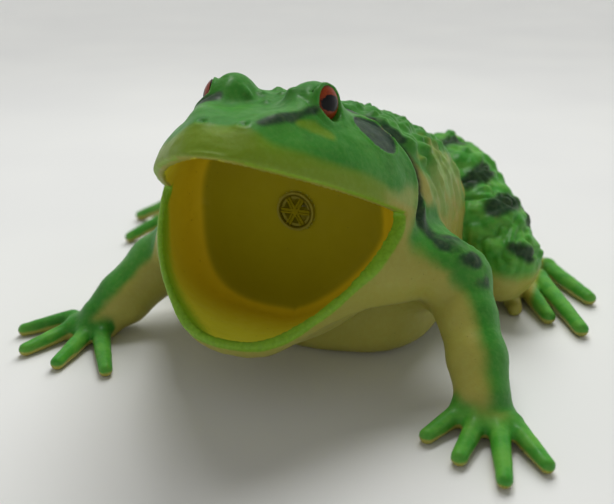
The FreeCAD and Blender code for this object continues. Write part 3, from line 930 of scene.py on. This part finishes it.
class Nodes:
    """A small helper for wiring a node tree."""

    def __init__(self, tree):
        self.tree = tree

    def node(self, kind, **values):
        node = self.tree.nodes.new(kind)
        for key, value in values.items():
            setattr(node, key, value)
        return node

    def link(self, source, target):
        self.tree.links.new(source, target)

    def feed(self, slots, values):
        """Set each slot to a plain value, or link it to another node's output."""
        for slot, value in zip(slots, values):
            if isinstance(value, (int, float, tuple)):
                slot.default_value = value
            else:
                self.link(value, slot)

    def vector(self, operation, *values):
        node = self.node("ShaderNodeVectorMath", operation=operation)
        self.feed(node.inputs, values)
        return node.outputs

    def axes(self, vector):
        """The X, Y and Z outputs of a vector."""
        parts = self.node("ShaderNodeSeparateXYZ")
        self.link(vector, parts.inputs[0])
        return parts.outputs

    def math(self, operation, a, b=0.0):
        node = self.node("ShaderNodeMath", operation=operation)
        self.feed(node.inputs, (a, b))
        return node.outputs[0]

    def times(self, value, amount):
        return self.math("MULTIPLY", value, amount)

    def root_sum(self, a, b):
        return self.math("SQRT", self.math("ADD", a, b))

    def remap(self, value, low, high, to_low=0.0, to_high=1.0, interpolation="SMOOTHSTEP"):
        node = self.node("ShaderNodeMapRange", interpolation_type=interpolation)
        self.link(value, node.inputs["Value"])
        for key, number in zip(("From Min", "From Max", "To Min", "To Max"), (low, high, to_low, to_high)):
            node.inputs[key].default_value = number
        return node.outputs["Result"]

    def mix(self, amount, a, b):
        """Colour a, going to colour b as the amount goes from 0 to 1."""
        node = self.node("ShaderNodeMix", data_type="RGBA")
        self.feed([slot for slot in node.inputs if slot.enabled], (amount, a, b))
        return next(slot for slot in node.outputs if slot.enabled)


class Shader(Nodes):
    """One material: its node tree and its surface."""

    def __init__(self, name):
        self.material = bpy.data.materials.new(name)
        self.material.use_nodes = True
        super().__init__(self.material.node_tree)
        self.surface = self.tree.nodes["Principled BSDF"]

    def attribute(self, name, output="Fac"):
        return self.node("ShaderNodeAttribute", attribute_name=name).outputs[output]

    def place(self):
        """Place on the object, in metres."""
        return self.node("ShaderNodeTexCoord").outputs["Object"]

    def in_mm(self, vector):
        node = self.node("ShaderNodeVectorMath", operation="SCALE")
        self.link(vector, node.inputs[0])
        node.inputs["Scale"].default_value = 1 / MM
        return node.outputs[0]

    def set(self, **values):
        """Plain values of the surface, by the names in SURFACE_INPUTS."""
        for key, value in values.items():
            self.surface.inputs[SURFACE_INPUTS[key]].default_value = value

    def noise(self, size_mm, detail, where=None):
        """Noise around 0.5 with features of the given size in millimetres."""
        noise = self.node("ShaderNodeTexNoise")
        noise.inputs["Scale"].default_value = 1.0
        noise.inputs["Detail"].default_value = detail
        where = where or self.attribute("rest", "Vector")
        self.link(self.vector("MULTIPLY", where, (1 / size_mm,) * 3)[0], noise.inputs["Vector"])
        return noise.outputs["Fac"]

    def patchy(self, name, noise, strength=0.5):
        """A paint mask whose edge is broken up by a noise, the way airbrushed paint is."""
        push = self.times(self.math("SUBTRACT", noise, 0.5), strength)
        value = self.math("ADD", self.attribute(name), push)
        return self.remap(value, 0.12, 0.88)

    def bump(self, height, strength, distance_mm, previous=None):
        node = self.node("ShaderNodeBump")
        node.inputs["Strength"].default_value = strength
        node.inputs["Distance"].default_value = distance_mm * MM
        self.link(height, node.inputs["Height"])
        if previous is not None:
            self.link(previous, node.inputs["Normal"])
        return node.outputs["Normal"]

    def painted_glow(self, colour, strength):
        """Painted light: an emission of the colour that lifts the part out of its shade, standing in for
        light that comes through the thin wall.
        """
        self.link(colour, self.surface.inputs["Emission Color"])
        self.surface.inputs["Emission Strength"].default_value = strength

    def finish(self, colour, normal, roughness=None):
        self.link(colour, self.surface.inputs["Base Color"])
        self.link(normal, self.surface.inputs["Normal"])
        if roughness is not None:
            self.link(roughness, self.surface.inputs["Roughness"])
        return self.material


def rim_paint(s, colour):
    """Bright green paint on the lips, over a colour."""
    speck = s.noise(0.9, 2)
    green = s.mix(speck, linear(94, 138, 16), linear(136, 184, 44))
    return s.mix(s.patchy("rim", speck, 0.4), colour, green)


def skin_green(s, cloud, blotch):
    """The sprayed green, brighter on the hind legs, the feet and the finger tips."""
    green = s.mix(s.remap(cloud, 0.35, 0.65), linear(46, 122, 28), linear(60, 132, 38))
    green = s.mix(s.times(s.remap(blotch, 0.5, 0.75), 0.45), green, linear(40, 100, 24))
    fresh = s.mix(s.remap(blotch, 0.35, 0.65), linear(60, 144, 42), linear(96, 164, 58))
    return s.mix(s.times(s.attribute("fresh"), 0.75), green, fresh)


def vinyl_skin():
    """Cream vinyl with airbrushed greens and dark bars."""
    s = Shader("vinyl_skin")
    cloud, blotch, speck = s.noise(14, 4), s.noise(4.5, 4), s.noise(0.9, 2)
    colour = s.mix(cloud, linear(166, 162, 78), linear(146, 142, 58))
    colour = s.mix(s.times(s.patchy("mint", blotch, 0.6), 0.85), colour, linear(112, 156, 74))
    colour = s.mix(s.patchy("green", blotch, 0.35), colour, skin_green(s, cloud, blotch))
    colour = s.mix(s.times(s.patchy("yellow", cloud, 0.35), 0.9), colour, linear(104, 136, 8))
    ear = s.mix(blotch, linear(34, 56, 42), linear(48, 68, 52))
    colour = rim_paint(s, s.mix(s.patchy("ear", speck, 0.2), colour, ear))
    dark = s.mix(blotch, linear(8, 34, 12), linear(22, 46, 32))
    colour = s.mix(s.times(s.patchy("dark", blotch, 0.5), 0.92), colour, dark)
    fleck = s.remap(s.noise(0.55, 1), 0.73, 0.78)
    colour = s.mix(s.times(fleck, 0.35), colour, linear(40, 70, 34))
    grain = s.remap(s.noise(1.2, 4), 0.42, 0.68)
    colour = s.mix(s.times(grain, 0.045), colour, linear(176, 206, 120))
    s.set(specular=0.27, coat=0.05, coat_roughness=0.15, subsurface=0.12, subsurface_scale=0.0025)
    roughness = s.remap(blotch, 0.3, 0.7, 0.42, 0.56)
    normal = s.bump(s.noise(0.8, 3), 0.35, 0.14, s.bump(s.noise(3, 3), 0.45, 0.3))
    return s.finish(colour, normal, roughness)


def mouth_vinyl():
    """Yellow-olive inner vinyl, with painted shade making it darker and more orange towards the back of the
    mouth, and a painted glow.
    """
    s = Shader("mouth_lining_vinyl")
    cloud, blotch = s.noise(12, 4), s.noise(3, 3)
    y = s.axes(s.attribute("rest", "Vector"))["Y"]
    colour = s.mix(cloud, linear(214, 214, 70), linear(202, 200, 50))
    # painted shade: the colour darkens and turns orange deeper in the mouth
    colour = s.mix(s.times(s.remap(y, -52, -22), 0.9), colour, linear(176, 146, 5))
    # painted shade: the back wall is painted darker still
    back = s.mix(cloud, linear(132, 124, 5), linear(124, 114, 4))
    colour = s.mix(s.remap(y, -19.6, -18.3), colour, back)
    fleck = s.remap(s.noise(0.9, 1), 0.74, 0.79)
    colour = s.mix(s.times(fleck, 0.5), colour, linear(60, 48, 10))
    colour = rim_paint(s, colour)
    s.set(specular=0.15)
    # painted glow: emission standing in for light coming through the thin vinyl
    s.painted_glow(colour, 0.1)
    return s.finish(colour, s.bump(blotch, 0.25, 0.2), s.remap(blotch, 0.3, 0.7, 0.6, 0.75))


def cad_material(name, light, dark, size_mm, roughness, coat=0, painted_glow=0):
    """Moulded plastic for a CAD node, mottled by a noise in object space, with an optional painted glow
    that lifts it out of its shade.
    """
    s = Shader(name)
    noise = s.noise(size_mm, 3, where=s.in_mm(s.place()))
    s.set(coat=coat, coat_roughness=0.1)
    rough_value = s.remap(noise, 0.3, 0.7, roughness - 0.06, roughness + 0.08)
    colour = s.mix(noise, linear(*light), linear(*dark))
    # painted glow: emission that lifts the part out of its shade
    s.painted_glow(colour, painted_glow)
    return s.finish(colour, s.bump(noise, 0.15, 0.1), rough_value)


def eye_material(side):
    """Glossy orange-red iris with an irregular black pupil, painted along the eye's look."""
    s = Shader("eye_" + side)
    mirror = (1, 1, 1) if side == "left" else (-1, 1, 1)
    look = EYE_LOOK * mirror
    up = EYE_UP - look * look[2]
    up /= np.linalg.norm(up)
    offset = s.vector("SUBTRACT", s.place(), tuple(EYE_CENTRE * mirror * MM))[0]

    def square(direction):
        along = s.vector("DOT_PRODUCT", offset, tuple(direction / MM))["Value"]
        return s.times(along, along)

    wobble = s.noise(1.1, 3, where=s.in_mm(offset))
    streaks = s.noise(0.5, 3, where=s.in_mm(offset))
    ring = s.root_sum(s.times(square(np.cross(up, look)), PUPIL_STRETCH), square(up))
    ring = s.math("ADD", ring, s.times(s.math("SUBTRACT", wobble, 0.5), 1.5))
    iris = s.mix(streaks, linear(158, 66, 28), linear(88, 28, 12))
    colour = s.mix(s.remap(ring, 1.75, 2.05, 1, 0), iris, linear(5, 5, 8))
    colour = s.mix(s.times(s.remap(ring, 3.3, 4.2), 0.7), colour, linear(70, 40, 20))
    s.set(roughness=0.3, specular=0.12, coat=0.08, coat_roughness=0.05)
    return s.finish(colour, s.bump(streaks, 0.06, 0.05))


def grille_material():
    """Spokes in the wall's colour inside a darker ring."""
    s = Shader("squeaker_plastic")
    where = s.in_mm(s.place())
    x = s.axes(where)["X"]
    z = s.math("SUBTRACT", s.axes(where)["Z"], SQUEAKER_HEIGHT)
    radius = s.root_sum(s.times(x, x), s.times(z, z))
    noise = s.noise(1.2, 3, where=where)
    colour = s.mix(noise, linear(126, 116, 10), linear(110, 101, 8))
    colour = s.mix(s.remap(radius, 4, 4.35), colour, linear(78, 70, 4))
    s.set(specular=0.03)
    # painted glow: a faint emission that lifts the grille out of the shade at the back of the mouth
    s.painted_glow(colour, 0.05)
    return s.finish(colour, s.bump(noise, 0.15, 0.1), s.remap(noise, 0.3, 0.7, 0.55, 0.7))


def dress_cad_nodes():
    """Give every CAD node its own material."""
    # the squeaker's case and inner parts get a painted glow that lifts their shaded windows
    case = cad_material("squeaker_case_plastic", (120, 110, 7), (104, 96, 6), 1.5, 0.65, painted_glow=0.12)
    inner = cad_material("squeaker_inner_plastic", (128, 118, 8), (110, 100, 6), 1, 0.6, painted_glow=0.14)
    film = cad_material("reed_film", (190, 188, 170), (160, 158, 140), 1, 0.3, coat=0.4)
    hidden = cad_material("moulded_vinyl", (120, 160, 80), (96, 140, 66), 6, 0.45)
    chosen = {"squeaker_grille": grille_material(), "squeaker_case": case, "reed_tube": inner,
              "reed_seat": inner, "reed_wedge": inner, "reed": film,
              "eye_left": eye_material("left"), "eye_right": eye_material("right")}
    for obj in bpy.data.objects:
        if obj.type != "MESH" or "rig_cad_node" not in obj:
            continue
        material = chosen.get(obj["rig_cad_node"], hidden)
        for slot in obj.material_slots:
            slot.material = material
        if not obj.material_slots:
            obj.data.materials.append(material)


# ---- stage: floor, light, camera ---------------------------------
WORLD_LIGHT = 0.36
LOW_SKY, HIGH_SKY = 2.3 * WORLD_LIGHT, 0.5 * WORLD_LIGHT
HIGH_SKY_FROM = 0.8
WARM_SKY, WHITE_SKY = (1, 0.96, 0.88, 1), (1, 1, 1, 1)
WHITE_SKY_FROM = 0.6
SUN_POWER, SUN_SPREAD = 2.5, 38.0
SUN_FROM = (-0.1, 0.74, 0.68)
GLINT_POWER, GLINT_SIZE = 1, 0.16
GLINT_AT, GLINT_AIM = (-0.12, 0.16, 0.6), (0, 0, 0.03)
FLOOR_SIZE = 40.0
CAMERA_AT = (77.645, -195.409, 98.722)
CAMERA_TARGET = (-5.06, 1.05, 17.41)
CAMERA_ROLL = -0.58
LENS, SENSOR = 43.6, 36.0
F_STOP = 16.0
FOCUS_DISTANCE = 183.0                 # from the camera to the front of the mouth


def aimed(direction):
    """Rotation that turns a lamp or a camera along a direction."""
    return direction.to_track_quat("-Z", "Y")


def floor():
    """A wide pale sheet, faintly mottled."""
    s = Shader("pale_floor")
    where = s.in_mm(s.place())
    wide = s.remap(s.noise(160, 2, where=where), 0.3, 0.7)
    paper = s.noise(6, 4, where=where)
    s.set(roughness=0.6, specular=0.25)
    s.finish(s.mix(wide, linear(226, 227, 224), linear(221, 222, 220)), s.bump(paper, 0.05, 0.05))
    bpy.ops.mesh.primitive_plane_add(size=FLOOR_SIZE, location=(0, 0, 0))
    sheet = bpy.context.object
    sheet.name = "floor"
    sheet.data.materials.append(s.material)


def soft_sky():
    """Light from all round, brightest low down and a little warm on the camera's side."""
    world = bpy.data.worlds.new("room")
    bpy.context.scene.world = world
    world.use_nodes = True
    s = Nodes(world.node_tree)
    sky = s.tree.nodes["Background"]
    facing = s.axes(s.node("ShaderNodeTexCoord").outputs["Generated"])
    tint = s.node("ShaderNodeValToRGB")
    warm, white = tint.color_ramp.elements
    warm.color = WARM_SKY
    white.color = WHITE_SKY
    white.position = WHITE_SKY_FROM
    s.link(s.remap(facing["Y"], -1, 1, interpolation="LINEAR"), tint.inputs["Fac"])
    s.link(tint.outputs["Color"], sky.inputs["Color"])
    strength = s.remap(facing["Z"], 0, HIGH_SKY_FROM, LOW_SKY, HIGH_SKY, "LINEAR")
    s.link(strength, sky.inputs["Strength"])


def lamps():
    """A wide soft sun from behind the frog, and a small lamp for the glints."""
    sun = bpy.data.lights.new("key", "SUN")
    sun.energy = SUN_POWER
    sun.angle = math.radians(SUN_SPREAD)
    key = add_object("key", sun)
    key.rotation_euler = aimed(-Vector(SUN_FROM)).to_euler()
    key.visible_glossy = False
    small = bpy.data.lights.new("glint", "AREA")
    small.size = GLINT_SIZE
    small.energy = GLINT_POWER
    glint = add_object("glint", small)
    glint.location = GLINT_AT
    glint.rotation_euler = aimed(Vector(GLINT_AIM) - Vector(GLINT_AT)).to_euler()


def camera():
    """A close camera with a little blur, focused on a fixed point at the front of the mouth."""
    lens = bpy.data.cameras.new("camera")
    lens.lens = LENS
    lens.sensor_width = SENSOR
    lens.clip_start = 0.01
    obj = add_object("camera", lens)
    look = Vector(CAMERA_TARGET) - Vector(CAMERA_AT)
    roll = Matrix.Rotation(math.radians(CAMERA_ROLL), 4, "Z")
    obj.location = Vector(CAMERA_AT) * MM
    obj.rotation_euler = (aimed(look).to_matrix().to_4x4() @ roll).to_euler()
    focus = add_object("focus_point", None)
    focus.location = (Vector(CAMERA_AT) + look.normalized() * FOCUS_DISTANCE) * MM
    lens.dof.use_dof = True
    lens.dof.focus_object = focus
    lens.dof.aperture_fstop = F_STOP
    bpy.context.scene.camera = obj
    bpy.context.scene.view_settings.view_transform = "Standard"


build_skin({"skin": vinyl_skin(), "mouth": mouth_vinyl()})
dress_cad_nodes()
floor()
soft_sky()
lamps()
camera()

bpy.context.view_layer.update()
